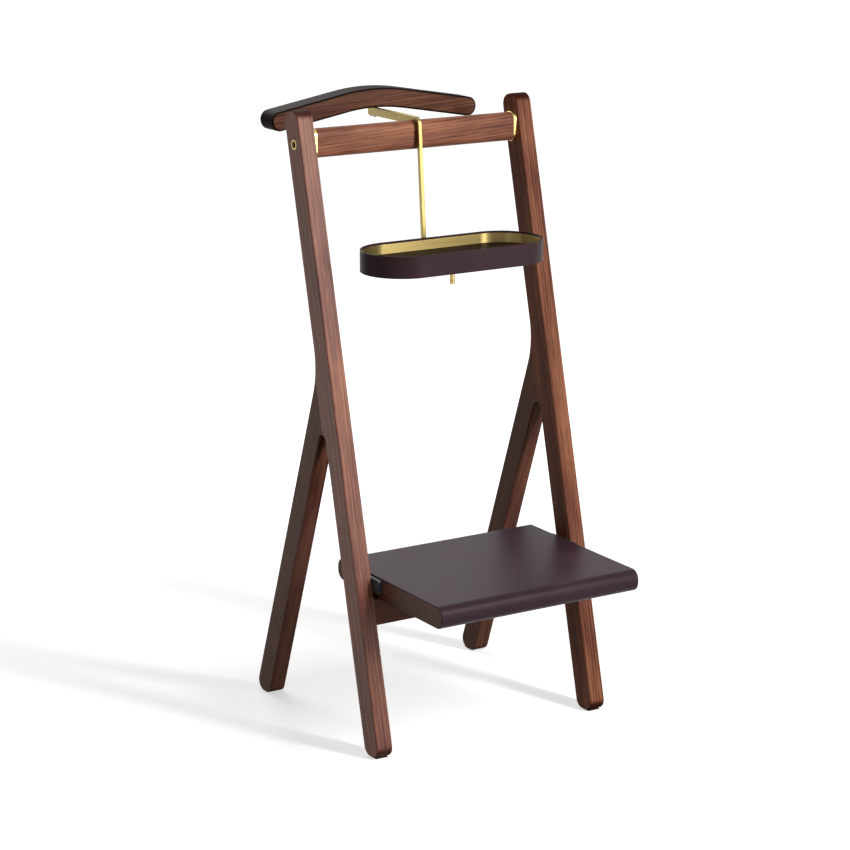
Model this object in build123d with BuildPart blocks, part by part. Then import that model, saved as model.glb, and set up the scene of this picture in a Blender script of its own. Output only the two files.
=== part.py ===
from build123d import *
import math
import os

os.makedirs("parts", exist_ok=True)

# Driving sizes of the stand, in millimetres and degrees
stand_height = 1100.0
frame_width = 482.0
overall_depth = 595.0
leg_thickness = 31.0
leg_width = 46.0
upright_lean = 13.7
rear_leg_lean = 20.3
foot_setback = 144.0
foot_spread = 448.0
crossbar_drop = 58.2
rail_height = 248.0
shelf_thickness = 39.0
shelf_depth = 349.0
tray_length = 352.0
tray_depth = 146.0
tray_height = 38.5
tray_drop = 213.5
tray_reach = 291.2
hanger_length = 428.0
hanger_depth = 46.0
hanger_rise = 35.2
hanger_droop = 9.9
arm_tall = 15.0
rod_deep = 8.0
bar_lean = 4.4

# Roundings
edge_ease = 2.0
top_radius = 19.0
foot_radius = 18.0
crotch_radius = 12.0
hip_radius = 140.0
arm_corner_radius = 14.0
run_corner_radius = 10.0
run_hollow_radius = 4.0
bar_edge = 0.7
hanger_crown_radius = 375.0
hanger_end_radius = 16.5
hanger_edge = 2.4
hanger_body_chamfer = 0.6
shelf_nose_radius = 17.0
shelf_side_round = 1.2
bracket_radius = 3.0
collar_chamfer = 0.5
tray_edge = 0.75
screw_head_edge = 1.0
stub_chamfer = 0.5

# Thicknesses and hardware
glide_thickness = 1.0
glide_margin = 1.0
crossbar_tall = 51.0
crossbar_deep = 30.0
crossbar_radius = 13.0
collar_length = 7.0
collar_proud = 1.0
rail_tall = 51.0
rail_deep = 29.0
shelf_leather_thickness = 2.0
bracket_thickness = 7.4
bracket_forward = 20.0
bracket_length = 82.0
bracket_tall = 24.0
bracket_drop = 1.0
bracket_front_inset = 10.0
bracket_rear_inset = 6.5
bracket_leg_pitch = 13.0
bracket_screw_depth = 18.0
band_thickness = 3.0
tray_leather_thickness = 2.5
tray_base_thickness = 14.0
tray_base_inset = 1.0
pan_wall = 1.8
pan_floor = 1.5
pan_rim_drop = 3.5
liner_thickness = 1.5
ferrule_diameter = 17.0
ferrule_wall = 2.0
ferrule_depth = 12.0
ferrule_floor = 2.0
ferrule_proud = 0.3
bolt_diameter = 8.0
bolt_head_diameter = 12.0
bolt_head_height = 7.0
bolt_length = 54.0
bolt_socket = 6.0
bolt_socket_depth = 4.0
bolt_run_out = 8.0
insert_diameter = 12.0
insert_length = 25.0
dowel_diameter = 10.0
leg_dowel_length = 30.0
rail_dowel_length = 40.0
screw_diameter = 3.5
screw_head_diameter = 6.4
screw_head_height = 2.4
bar_thickness = 7.0
run_tall = 8.0
bar_screw_head_deep = 8.0
bar_screw_bite = 8.0
hanger_seat = 25.0
hanger_screw_pitch = 12.0
hanger_screw_bite = 20.0
pin_diameter = 8.0
eye_diameter = 20.0
boss_diameter = 15.0
stub_diameter = 9.0
stub_drop = 33.3
stub_cap = 6.6
stub_floor = 2.0
stub_thread = 6.0
flange_diameter = 46.0
flange_thickness = 4.0
flange_screw_circle = 15.0
flange_screw_length = 11.0

# Clearances
glue_gap = 0.05
thread_gap = 0.03
running_gap = 0.05
drill_gap = 0.3
drill_run_out = 1.0
cut_over = 1.0
swivel_gap = 0.35
shelf_seat_gap = 0.5
bar_stand_off = 0.8
tray_over_bar = 2.0

# Places that follow from the sizes above
crossbar_height = stand_height - crossbar_drop
tray_bottom = crossbar_height - tray_drop
stub_bottom = tray_bottom - stub_drop
shelf_bottom = rail_height + rail_tall / 2 + shelf_seat_gap
outer_x = frame_width / 2
inner_x = outer_x - leg_thickness
front_y = -overall_depth / 2 + foot_setback
rear_y = front_y + foot_spread
lean_up = math.radians(upright_lean)
lean_rear = math.radians(rear_leg_lean)
tan_up = math.tan(lean_up)
tan_rear = math.tan(lean_rear)
upright_run = leg_width / math.cos(lean_up)
rear_run = leg_width / math.cos(lean_rear)
half_fork = (lean_up + lean_rear) / 2
fork_tilt = (lean_rear - lean_up) / 2
crotch_z = (rear_y - rear_run - front_y - upright_run) / (tan_up + tan_rear)
hip_z = (rear_y - front_y - upright_run) / (tan_up + tan_rear)
crossbar_y = front_y + upright_run / 2 + tan_up * crossbar_height
rail_y = front_y + upright_run / 2 + tan_up * rail_height


def upright_front(z):
    return front_y + tan_up * z


def upright_rear(z):
    return front_y + upright_run + tan_up * z


def leg_rear(z):
    return rear_y - tan_rear * z


def leg_front(z):
    return rear_y - rear_run - tan_rear * z


# The shelf sits between the frames, on a plate at each side
shelf_half = inner_x - bracket_thickness - 2 * glue_gap
shelf_y = -overall_depth / 2 + shelf_depth / 2
shelf_z = shelf_bottom + shelf_thickness / 2
core_depth = shelf_depth - 2 * shelf_leather_thickness
core_tall = shelf_thickness - 2 * shelf_leather_thickness
core_radius = shelf_nose_radius - shelf_leather_thickness
bracket_front_y = upright_front(shelf_z) - bracket_forward
bracket_z = shelf_z + core_tall / 2 - bracket_drop - bracket_tall / 2
bracket_y = bracket_front_y + bracket_length / 2
bracket_rear_y = bracket_front_y + bracket_length
upright_at_shelf_y = upright_front(shelf_z) + upright_run / 2
shelf_screw_y = (bracket_front_y + bracket_front_inset, bracket_rear_y - bracket_rear_inset)


def bracket_screw_spots():
    # Two screws into the upright, drawn along the plate
    return [(upright_at_shelf_y, bracket_z + side * bracket_leg_pitch / 2) for side in (-1, 1)]


def shelf_screw_spots():
    # Two screws into the side of the shelf board
    return [(y, bracket_z) for y in shelf_screw_y]


# The seam between upright and rear leg runs from the crotch towards the middle of the hip curve,
# and ends below it in a level shoulder
crotch_drop = crotch_radius / math.sin(half_fork) - crotch_radius
crotch_tip_y = upright_rear(crotch_z) + crotch_drop * math.sin(fork_tilt)
crotch_tip_z = crotch_z - crotch_drop * math.cos(fork_tilt)
hip_back = hip_radius / math.cos(half_fork) - hip_radius
hip_mid_y = upright_rear(hip_z) + hip_back * math.cos(fork_tilt)
hip_mid_z = hip_z + hip_back * math.sin(fork_tilt)
seam_share = 0.8
seam_length = math.hypot(hip_mid_y - crotch_tip_y, hip_mid_z - crotch_tip_z)
seam_y = (hip_mid_y - crotch_tip_y) / seam_length
seam_z = (hip_mid_z - crotch_tip_z) / seam_length
cut_length = leg_thickness + 2 * cut_over


def side_outline(x):
    # One whole side frame in depth and height: upright, fork and rear leg
    top_z = stand_height + top_radius * (math.sin(lean_up) + math.cos(lean_up) - 1)
    top_front = (upright_front(top_z), top_z)
    top_rear = (top_front[0] + leg_width * math.cos(lean_up), top_front[1] - leg_width * math.sin(lean_up))
    toe = (upright_front(glide_thickness), glide_thickness)
    heel = (upright_rear(glide_thickness), glide_thickness)
    crotch = (upright_rear(crotch_z), crotch_z)
    rear_toe = (leg_front(glide_thickness), glide_thickness)
    rear_heel = (leg_rear(glide_thickness), glide_thickness)
    hip = (upright_rear(hip_z), hip_z)
    with BuildSketch(Plane.YZ.offset(x)) as outline:
        with BuildLine():
            Polyline(toe, heel, crotch, rear_toe, rear_heel, hip, top_rear, top_front, close=True)
        make_face()
        for corner in (toe, heel, rear_toe, rear_heel):
            fillet(outline.vertices().sort_by_distance((corner[0], corner[1], 0))[0], foot_radius)
        fillet(outline.vertices().sort_by_distance((crotch[0], crotch[1], 0))[0], crotch_radius)
        fillet(outline.vertices().sort_by_distance((hip[0], hip[1], 0))[0], hip_radius)
        fillet(outline.vertices().sort_by_distance((top_rear[0], top_rear[1], 0))[0], top_radius)
        fillet(outline.vertices().sort_by_distance((top_front[0], top_front[1], 0))[0], top_radius)
    return outline.sketch


def rear_side(x, back):
    # Everything behind the seam, moved back by the given amount
    far_y = rear_y + leg_width
    low_z = -leg_width
    tip = (crotch_tip_y + back, crotch_tip_z)
    shoulder_y = crotch_tip_y + back + seam_y * seam_length * seam_share
    shoulder_z = crotch_tip_z - back + seam_z * seam_length * seam_share
    shoulder = (shoulder_y, shoulder_z)
    with BuildSketch(Plane.YZ.offset(x)) as region:
        with BuildLine():
            Polyline(tip, shoulder, (far_y, shoulder_z), (far_y, low_z), (tip[0], low_z), close=True)
        make_face()
    return region.sketch


# Two dowels across each leg seam
leg_dowel_steps = (0.16, 0.48)
leg_dowel_planes = []
for step in leg_dowel_steps:
    spot = (
        -outer_x + leg_thickness / 2,
        crotch_tip_y + seam_y * seam_length * step,
        crotch_tip_z + seam_z * seam_length * step,
    )
    leg_dowel_planes.append(Plane(origin=spot, x_dir=(1, 0, 0), z_dir=(0, seam_z, -seam_y)))

# Two dowels at each end of the lower rail
rail_dowel_pitch = rail_tall / 2
rail_dowel_in_leg = 0.4 * rail_dowel_length

with BuildPart() as left_upright:
    extrude(side_outline(-outer_x), amount=leg_thickness)
    fillet(left_upright.faces().filter_by(Axis.X).edges(), edge_ease)
    extrude(rear_side(-outer_x - cut_over, 0), amount=cut_length, mode=Mode.SUBTRACT)
    for plane in leg_dowel_planes:
        with BuildSketch(plane):
            Circle(dowel_diameter / 2 + glue_gap)
    extrude(amount=leg_dowel_length / 2 + drill_gap, both=True, mode=Mode.SUBTRACT)
    with BuildSketch(Plane.YZ.offset(-outer_x)):
        with Locations((crossbar_y, crossbar_height)):
            Circle(ferrule_diameter / 2 + glue_gap)
    extrude(amount=ferrule_depth + glue_gap, mode=Mode.SUBTRACT)
    with BuildSketch(Plane.YZ.offset(-outer_x)):
        with Locations((crossbar_y, crossbar_height)):
            Circle(bolt_diameter / 2 + drill_gap)
    extrude(amount=leg_thickness, mode=Mode.SUBTRACT)
    with BuildSketch(Plane.YZ.offset(-inner_x)):
        with Locations((rail_y, rail_height)):
            with GridLocations(rail_dowel_pitch, rail_dowel_pitch, 1, 2):
                Circle(dowel_diameter / 2 + glue_gap)
    extrude(amount=-rail_dowel_in_leg - drill_gap, mode=Mode.SUBTRACT)
    with BuildSketch(Plane.YZ.offset(-inner_x)):
        with Locations(*bracket_screw_spots()):
            Circle(screw_diameter / 2 + thread_gap)
    extrude(amount=-bracket_screw_depth - drill_gap, mode=Mode.SUBTRACT)
left_upright.part.label = "left_upright"
export_step(left_upright.part, "parts/left_upright.step")

with BuildPart() as left_rear_leg:
    extrude(side_outline(-outer_x), amount=leg_thickness)
    fillet(left_rear_leg.faces().filter_by(Axis.X).edges(), edge_ease)
    extrude(rear_side(-outer_x - cut_over, glue_gap), amount=cut_length, mode=Mode.INTERSECT)
    for plane in leg_dowel_planes:
        with BuildSketch(plane):
            Circle(dowel_diameter / 2 + glue_gap)
    extrude(amount=leg_dowel_length / 2 + drill_gap, both=True, mode=Mode.SUBTRACT)
left_rear_leg.part.label = "left_rear_leg"
export_step(left_rear_leg.part, "parts/left_rear_leg.step")

with BuildPart() as left_leg_dowels:
    for plane in leg_dowel_planes:
        with BuildSketch(plane):
            Circle(dowel_diameter / 2)
    extrude(amount=leg_dowel_length / 2, both=True)
left_leg_dowels.part.label = "left_leg_dowels"
export_step(left_leg_dowels.part, "parts/left_leg_dowels.step")

with BuildPart() as right_upright:
    mirror(left_upright.part, about=Plane.YZ)
right_upright.part.label = "right_upright"
export_step(right_upright.part, "parts/right_upright.step")

with BuildPart() as right_rear_leg:
    mirror(left_rear_leg.part, about=Plane.YZ)
right_rear_leg.part.label = "right_rear_leg"
export_step(right_rear_leg.part, "parts/right_rear_leg.step")

with BuildPart() as right_leg_dowels:
    mirror(left_leg_dowels.part, about=Plane.YZ)
right_leg_dowels.part.label = "right_leg_dowels"
export_step(right_leg_dowels.part, "parts/right_leg_dowels.step")

# Glide pads on the flats of the four feet
toe_cut = foot_radius / math.tan((math.pi / 2 + lean_up) / 2)
heel_cut = foot_radius / math.tan((math.pi / 2 - lean_up) / 2)
front_flat = upright_run - toe_cut - heel_cut
front_glide_y = upright_front(glide_thickness) + toe_cut + front_flat / 2
rear_toe_cut = foot_radius / math.tan((math.pi / 2 - lean_rear) / 2)
rear_heel_cut = foot_radius / math.tan((math.pi / 2 + lean_rear) / 2)
rear_flat = rear_run - rear_toe_cut - rear_heel_cut
rear_glide_y = leg_rear(glide_thickness) - rear_heel_cut - rear_flat / 2
glide_width = min(front_flat, rear_flat) - glide_margin
glide_length = leg_thickness - 3 * edge_ease
with BuildPart() as foot_glides:
    with BuildSketch():
        for y in (front_glide_y, rear_glide_y):
            with Locations((-outer_x + leg_thickness / 2, y), (outer_x - leg_thickness / 2, y)):
                RectangleRounded(glide_length, glide_width, glide_width / 4)
    extrude(amount=glide_thickness - glue_gap)
foot_glides.part.label = "foot_glides"
export_step(foot_glides.part, "parts/foot_glides.step")

# Crossbar, its collars and the bolts that draw it up
collar_x = inner_x - collar_length
crossbar_top = crossbar_height + crossbar_tall / 2
crossbar_under = crossbar_height - crossbar_tall / 2
housing_depth = arm_tall / 2
bar_screw_pitch = crossbar_deep / 2
with BuildPart() as crossbar:
    with BuildSketch(Plane.YZ.offset(-collar_x + glue_gap)):
        with Locations((crossbar_y, crossbar_height)):
            RectangleRounded(crossbar_deep, crossbar_tall, crossbar_radius)
    extrude(amount=2 * (collar_x - glue_gap))
    for end in (-1, 1):
        with BuildSketch(Plane.YZ.offset(end * collar_x)):
            with Locations((crossbar_y, crossbar_height)):
                Circle(insert_diameter / 2 + glue_gap)
        extrude(amount=-end * (insert_length + bolt_run_out), mode=Mode.SUBTRACT)
    with BuildSketch(Plane.XY.offset(crossbar_top)):
        with Locations((0, crossbar_y)):
            Rectangle(bar_thickness + 2 * glue_gap, 2 * crossbar_deep)
    extrude(amount=-housing_depth, mode=Mode.SUBTRACT)
    with BuildSketch(Plane.XY.offset(crossbar_under)):
        with Locations((0, crossbar_y)):
            with GridLocations(bar_screw_pitch, bar_screw_pitch, 1, 2):
                Circle(screw_diameter / 2 + drill_gap)
    extrude(amount=crossbar_tall, mode=Mode.SUBTRACT)
    with BuildSketch(Plane.XY.offset(crossbar_under)):
        with Locations((0, crossbar_y)):
            with GridLocations(bar_screw_pitch, bar_screw_pitch, 1, 2):
                Circle(screw_head_diameter / 2 + drill_gap)
    extrude(amount=bar_screw_head_deep, mode=Mode.SUBTRACT)
crossbar.part.label = "crossbar"
export_step(crossbar.part, "parts/crossbar.step")

collar_deep = crossbar_deep + 2 * collar_proud
collar_tall = crossbar_tall + 2 * collar_proud
with BuildPart() as left_collar:
    with BuildSketch(Plane.YZ.offset(-inner_x + glue_gap)):
        with Locations((crossbar_y, crossbar_height)):
            RectangleRounded(collar_deep, collar_tall, crossbar_radius + collar_proud)
            Circle(bolt_diameter / 2 + drill_gap, mode=Mode.SUBTRACT)
    extrude(amount=collar_length - glue_gap)
    outer_wires = left_collar.edges().filter_by(GeomType.CIRCLE, reverse=True).filter_by(Plane.YZ)
    chamfer(outer_wires, collar_chamfer)
left_collar.part.label = "left_collar"
export_step(left_collar.part, "parts/left_collar.step")

with BuildPart() as right_collar:
    mirror(left_collar.part, about=Plane.YZ)
right_collar.part.label = "right_collar"
export_step(right_collar.part, "parts/right_collar.step")

ferrule_seat_x = outer_x - ferrule_depth
with BuildPart() as bolt_ferrules:
    for end in (-1, 1):
        with BuildSketch(Plane.YZ.offset(end * ferrule_seat_x)):
            with Locations((crossbar_y, crossbar_height)):
                Circle(ferrule_diameter / 2)
                Circle(bolt_diameter / 2 + drill_gap, mode=Mode.SUBTRACT)
        extrude(amount=end * ferrule_floor)
        with BuildSketch(Plane.YZ.offset(end * (ferrule_seat_x + ferrule_floor))):
            with Locations((crossbar_y, crossbar_height)):
                Circle(ferrule_diameter / 2)
                Circle(ferrule_diameter / 2 - ferrule_wall, mode=Mode.SUBTRACT)
        extrude(amount=end * (ferrule_depth - ferrule_floor + ferrule_proud))
bolt_ferrules.part.label = "bolt_ferrules"
export_step(bolt_ferrules.part, "parts/bolt_ferrules.step")

head_seat_x = ferrule_seat_x + ferrule_floor + glue_gap
with BuildPart() as crossbar_bolts:
    for end in (-1, 1):
        with BuildSketch(Plane.YZ.offset(end * head_seat_x)):
            with Locations((crossbar_y, crossbar_height)):
                Circle(bolt_head_diameter / 2)
        extrude(amount=end * bolt_head_height)
        with BuildSketch(Plane.YZ.offset(end * head_seat_x)):
            with Locations((crossbar_y, crossbar_height)):
                Circle(bolt_diameter / 2)
        extrude(amount=-end * bolt_length)
        with BuildSketch(Plane.YZ.offset(end * (head_seat_x + bolt_head_height))):
            with Locations((crossbar_y, crossbar_height)):
                RegularPolygon(bolt_socket / 2, 6, major_radius=False)
        extrude(amount=-end * bolt_socket_depth, mode=Mode.SUBTRACT)
crossbar_bolts.part.label = "crossbar_bolts"
export_step(crossbar_bolts.part, "parts/crossbar_bolts.step")

with BuildPart() as crossbar_inserts:
    for end in (-1, 1):
        with BuildSketch(Plane.YZ.offset(end * (collar_x - 2 * glue_gap))):
            with Locations((crossbar_y, crossbar_height)):
                Circle(insert_diameter / 2)
                Circle(bolt_diameter / 2 + thread_gap, mode=Mode.SUBTRACT)
        extrude(amount=-end * insert_length)
crossbar_inserts.part.label = "crossbar_inserts"
export_step(crossbar_inserts.part, "parts/crossbar_inserts.step")

# Hanger outline, with its crown in the middle
hanger_back_y = overall_depth / 2
hanger_front_y = hanger_back_y - hanger_depth
arm_under = crossbar_top - housing_depth + glue_gap
arm_top = arm_under + arm_tall
hanger_under = arm_top + glue_gap
droop = math.radians(hanger_droop)
crown_lift = hanger_crown_radius * (1 / math.cos(droop) - 1)
hollow_radius = hanger_crown_radius - hanger_rise
hollow_lift = hollow_radius * (1 / math.cos(droop) - 1)
hanger_under_apex = hanger_under + hollow_lift
hanger_top_apex = hanger_under + hanger_rise + crown_lift
hanger_tip_x = hanger_length / 2 + hanger_end_radius * (math.cos(droop) + math.sin(droop) - 1)
hanger_tip_z = hanger_top_apex - hanger_tip_x * math.tan(droop)
hanger_low_x = hanger_tip_x - hanger_rise * math.sin(droop)
hanger_low_z = hanger_tip_z - hanger_rise * math.cos(droop)


def hanger_outline(inset):
    # Front view of the hanger, drawn in all round by the given amount
    more = inset * (math.cos(droop) + math.sin(droop))
    less = inset * (math.cos(droop) - math.sin(droop))
    tip_x = hanger_tip_x - more
    tip_z = hanger_tip_z - less
    low_x = hanger_low_x - less
    low_z = hanger_low_z + more
    crown = (0, hanger_top_apex - inset / math.cos(droop))
    hollow = (0, hanger_under_apex + inset / math.cos(droop))
    corners = ((-tip_x, tip_z), (tip_x, tip_z), (low_x, low_z), (-low_x, low_z))
    with BuildSketch(Plane.XZ.offset(-hanger_back_y)) as outline:
        with BuildLine():
            Polyline(corners[0], crown, corners[1], corners[2], hollow, corners[3], close=True)
        make_face()
        end_radius = hanger_end_radius - inset
        for corner in corners:
            fillet(outline.vertices().sort_by_distance((corner[0], corner[1], 0))[0], end_radius)
        fillet(outline.vertices().sort_by_distance((0, crown[1], 0))[0], hanger_crown_radius - inset)
        fillet(outline.vertices().sort_by_distance((0, hollow[1], 0))[0], hollow_radius + inset)
    return outline.sketch


# Screws that come up through the arm of the bar into the hanger
hanger_screw_y = hanger_front_y + hanger_seat / 2
hanger_screw_length = arm_tall + hanger_screw_bite
with BuildPart() as hanger_body:
    extrude(hanger_outline(band_thickness + glue_gap), amount=hanger_depth)
    chamfer(hanger_body.faces().filter_by(Axis.Y).edges(), hanger_body_chamfer)
    with BuildSketch(Plane.XY.offset(hanger_under)):
        with Locations((0, hanger_screw_y)):
            with GridLocations(hanger_screw_pitch, hanger_screw_pitch, 1, 2):
                Circle(screw_diameter / 2 + thread_gap)
    extrude(amount=hanger_screw_bite + 2 * drill_run_out, mode=Mode.SUBTRACT)
hanger_body.part.label = "hanger_body"
export_step(hanger_body.part, "parts/hanger_body.step")

with BuildPart() as hanger_band:
    extrude(hanger_outline(0), amount=hanger_depth)
    fillet(hanger_band.faces().filter_by(Axis.Y).edges(), hanger_edge)
    extrude(hanger_outline(band_thickness), amount=hanger_depth, mode=Mode.SUBTRACT)
    with BuildSketch(Plane.XY.offset(hanger_under - cut_over)):
        with Locations((0, hanger_screw_y)):
            with GridLocations(hanger_screw_pitch, hanger_screw_pitch, 1, 2):
                Circle(screw_diameter / 2 + drill_gap)
    extrude(amount=2 * band_thickness, mode=Mode.SUBTRACT)
hanger_band.part.label = "hanger_band"
export_step(hanger_band.part, "parts/hanger_band.step")

# The bar, cut from plate: an arm below the hanger and over the crossbar, a rod down, a run to the eye
tray_y = -overall_depth / 2 + tray_reach
tan_bar = math.tan(math.radians(bar_lean))
rod_run = rod_deep / math.cos(math.radians(bar_lean))
run_top = tray_bottom - tray_over_bar
run_under = run_top - run_tall
bar_touch_z = crossbar_top - crossbar_radius
bar_touch_y = crossbar_y - crossbar_deep / 2 - bar_stand_off
bar_end_y = hanger_front_y + hanger_seat


def rod_rear(z):
    return bar_touch_y + tan_bar * (z - bar_touch_z)


def rod_front(z):
    return rod_rear(z) - rod_run


def bar_outline():
    # Side view of the bar in depth and height
    arm_corner = (rod_front(arm_top), arm_top)
    arm_hollow = (rod_rear(arm_under), arm_under)
    run_hollow = (rod_front(run_top), run_top)
    run_corner = (rod_rear(run_under), run_under)
    with BuildSketch(Plane.YZ.offset(-bar_thickness / 2)) as outline:
        with BuildLine():
            Polyline(
                (bar_end_y, arm_under),
                (bar_end_y, arm_top),
                arm_corner,
                run_hollow,
                (tray_y, run_top),
                (tray_y, run_under),
                run_corner,
                arm_hollow,
                close=True,
            )
        make_face()
        fillet(outline.vertices().sort_by_distance((arm_corner[0], arm_corner[1], 0))[0], arm_corner_radius)
        fillet(outline.vertices().sort_by_distance((arm_hollow[0], arm_hollow[1], 0))[0], bar_stand_off)
        fillet(outline.vertices().sort_by_distance((run_hollow[0], run_hollow[1], 0))[0], run_hollow_radius)
        fillet(outline.vertices().sort_by_distance((run_corner[0], run_corner[1], 0))[0], run_corner_radius)
    return outline.sketch


with BuildPart() as valet_bar:
    extrude(bar_outline(), amount=bar_thickness)
    fillet(valet_bar.faces().filter_by(Axis.X).edges(), bar_edge)
    with BuildSketch(Plane.XY.offset(run_under)):
        with Locations((0, tray_y)):
            Circle(eye_diameter / 2)
    extrude(amount=run_tall)
    with BuildSketch(Plane.XY.offset(run_under - cut_over)):
        with Locations((0, tray_y)):
            Circle(pin_diameter / 2 + running_gap)
    extrude(amount=run_tall + 2 * cut_over, mode=Mode.SUBTRACT)
    with BuildSketch(Plane.XY.offset(arm_under - cut_over)):
        with Locations((0, hanger_screw_y)):
            with GridLocations(hanger_screw_pitch, hanger_screw_pitch, 1, 2):
                Circle(screw_diameter / 2 + drill_gap)
    extrude(amount=arm_tall + 2 * cut_over, mode=Mode.SUBTRACT)
    with BuildSketch(Plane.XY.offset(arm_under)):
        with Locations((0, crossbar_y)):
            with GridLocations(bar_screw_pitch, bar_screw_pitch, 1, 2):
                Circle(screw_diameter / 2 + thread_gap)
    extrude(amount=bar_screw_bite + drill_run_out, mode=Mode.SUBTRACT)
valet_bar.part.label = "valet_bar"
export_step(valet_bar.part, "parts/valet_bar.step")

with BuildPart() as bar_screws:
    head_z = crossbar_under + bar_screw_head_deep - glue_gap
    with BuildSketch(Plane.XY.offset(head_z)):
        with Locations((0, crossbar_y)):
            with GridLocations(bar_screw_pitch, bar_screw_pitch, 1, 2):
                Circle(screw_diameter / 2)
    extrude(amount=arm_under + bar_screw_bite - head_z)
    with BuildSketch(Plane.XY.offset(head_z)):
        with Locations((0, crossbar_y)):
            with GridLocations(bar_screw_pitch, bar_screw_pitch, 1, 2):
                Circle(screw_head_diameter / 2)
    extrude(amount=-screw_head_height)
bar_screws.part.label = "bar_screws"
export_step(bar_screws.part, "parts/bar_screws.step")

with BuildPart() as hanger_screws:
    head_z = arm_under - glue_gap
    with BuildSketch(Plane.XY.offset(head_z)):
        with Locations((0, hanger_screw_y)):
            with GridLocations(hanger_screw_pitch, hanger_screw_pitch, 1, 2):
                Circle(screw_diameter / 2)
    extrude(amount=hanger_screw_length)
    with BuildSketch(Plane.XY.offset(head_z)):
        with Locations((0, hanger_screw_y)):
            with GridLocations(hanger_screw_pitch, hanger_screw_pitch, 1, 2):
                Circle(screw_head_diameter / 2)
    extrude(amount=-screw_head_height)
    fillet(hanger_screws.faces().sort_by(Axis.Z)[:2].edges(), screw_head_edge)
hanger_screws.part.label = "hanger_screws"
export_step(hanger_screws.part, "parts/hanger_screws.step")

# Lower rail and its dowels
with BuildPart() as lower_rail:
    with BuildSketch(Plane.YZ.offset(-inner_x + glue_gap)):
        with Locations((rail_y, rail_height)):
            RectangleRounded(rail_deep, rail_tall, 2 * edge_ease)
    extrude(amount=2 * (inner_x - glue_gap))
    for end in (-1, 1):
        with BuildSketch(Plane.YZ.offset(end * inner_x)):
            with Locations((rail_y, rail_height)):
                with GridLocations(rail_dowel_pitch, rail_dowel_pitch, 1, 2):
                    Circle(dowel_diameter / 2 + glue_gap)
        extrude(amount=-end * (rail_dowel_length - rail_dowel_in_leg + drill_gap), mode=Mode.SUBTRACT)
lower_rail.part.label = "lower_rail"
export_step(lower_rail.part, "parts/lower_rail.step")

with BuildPart() as rail_dowels:
    for end in (-1, 1):
        with BuildSketch(Plane.YZ.offset(end * (inner_x + rail_dowel_in_leg))):
            with Locations((rail_y, rail_height)):
                with GridLocations(rail_dowel_pitch, rail_dowel_pitch, 1, 2):
                    Circle(dowel_diameter / 2)
        extrude(amount=-end * rail_dowel_length)
rail_dowels.part.label = "rail_dowels"
export_step(rail_dowels.part, "parts/rail_dowels.step")

# Shelf: a board wrapped in leather, sides left bare, carried by a plate on each side
with BuildPart() as shelf_core:
    with BuildSketch(Plane.YZ.offset(-shelf_half)):
        with Locations((shelf_y, shelf_z)):
            RectangleRounded(core_depth - 2 * glue_gap, core_tall - 2 * glue_gap, core_radius)
    extrude(amount=2 * shelf_half)
    for end in (-1, 1):
        with BuildSketch(Plane.YZ.offset(end * shelf_half)):
            with Locations(*shelf_screw_spots()):
                Circle(screw_diameter / 2 + thread_gap)
        extrude(amount=-end * (bracket_screw_depth + drill_run_out), mode=Mode.SUBTRACT)
        with BuildSketch(Plane.YZ.offset(end * shelf_half)):
            with Locations(*bracket_screw_spots()):
                Circle(screw_head_diameter / 2 + drill_gap)
        extrude(amount=-end * (screw_head_height + drill_run_out), mode=Mode.SUBTRACT)
shelf_core.part.label = "shelf_core"
export_step(shelf_core.part, "parts/shelf_core.step")

with BuildPart() as shelf_leather:
    with BuildSketch(Plane.YZ.offset(-shelf_half)):
        with Locations((shelf_y, shelf_z)):
            RectangleRounded(shelf_depth, shelf_thickness, shelf_nose_radius)
            RectangleRounded(core_depth, core_tall, core_radius, mode=Mode.SUBTRACT)
    extrude(amount=2 * shelf_half)
    side_wires = [face.outer_wire() for face in shelf_leather.faces().filter_by(Axis.X)]
    fillet([edge for wire in side_wires for edge in wire.edges()], shelf_side_round)
shelf_leather.part.label = "shelf_leather"
export_step(shelf_leather.part, "parts/shelf_leather.step")

with BuildPart() as left_shelf_plate:
    with BuildSketch(Plane.YZ.offset(-inner_x + glue_gap)):
        with Locations((bracket_y, bracket_z)):
            RectangleRounded(bracket_length, bracket_tall, bracket_radius)
        with Locations(*bracket_screw_spots()):
            Circle(screw_diameter / 2 + drill_gap, mode=Mode.SUBTRACT)
        with Locations(*shelf_screw_spots()):
            Circle(screw_diameter / 2 + drill_gap, mode=Mode.SUBTRACT)
    extrude(amount=bracket_thickness)
    with BuildSketch(Plane.YZ.offset(-inner_x)):
        with Locations(*shelf_screw_spots()):
            Circle(screw_head_diameter / 2 + drill_gap)
    extrude(amount=screw_head_height + 2 * glue_gap, mode=Mode.SUBTRACT)
left_shelf_plate.part.label = "left_shelf_plate"
export_step(left_shelf_plate.part, "parts/left_shelf_plate.step")

with BuildPart() as right_shelf_plate:
    mirror(left_shelf_plate.part, about=Plane.YZ)
right_shelf_plate.part.label = "right_shelf_plate"
export_step(right_shelf_plate.part, "parts/right_shelf_plate.step")

with BuildPart() as plate_screws:
    head_x = shelf_half + glue_gap / 2
    for end in (-1, 1):
        with BuildSketch(Plane.YZ.offset(end * head_x)):
            with Locations(*bracket_screw_spots()):
                Circle(screw_diameter / 2)
        extrude(amount=end * (bracket_thickness + bracket_screw_depth))
        with BuildSketch(Plane.YZ.offset(end * head_x)):
            with Locations(*bracket_screw_spots()):
                Circle(screw_head_diameter / 2)
        extrude(amount=-end * screw_head_height)
plate_screws.part.label = "plate_screws"
export_step(plate_screws.part, "parts/plate_screws.step")

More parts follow.
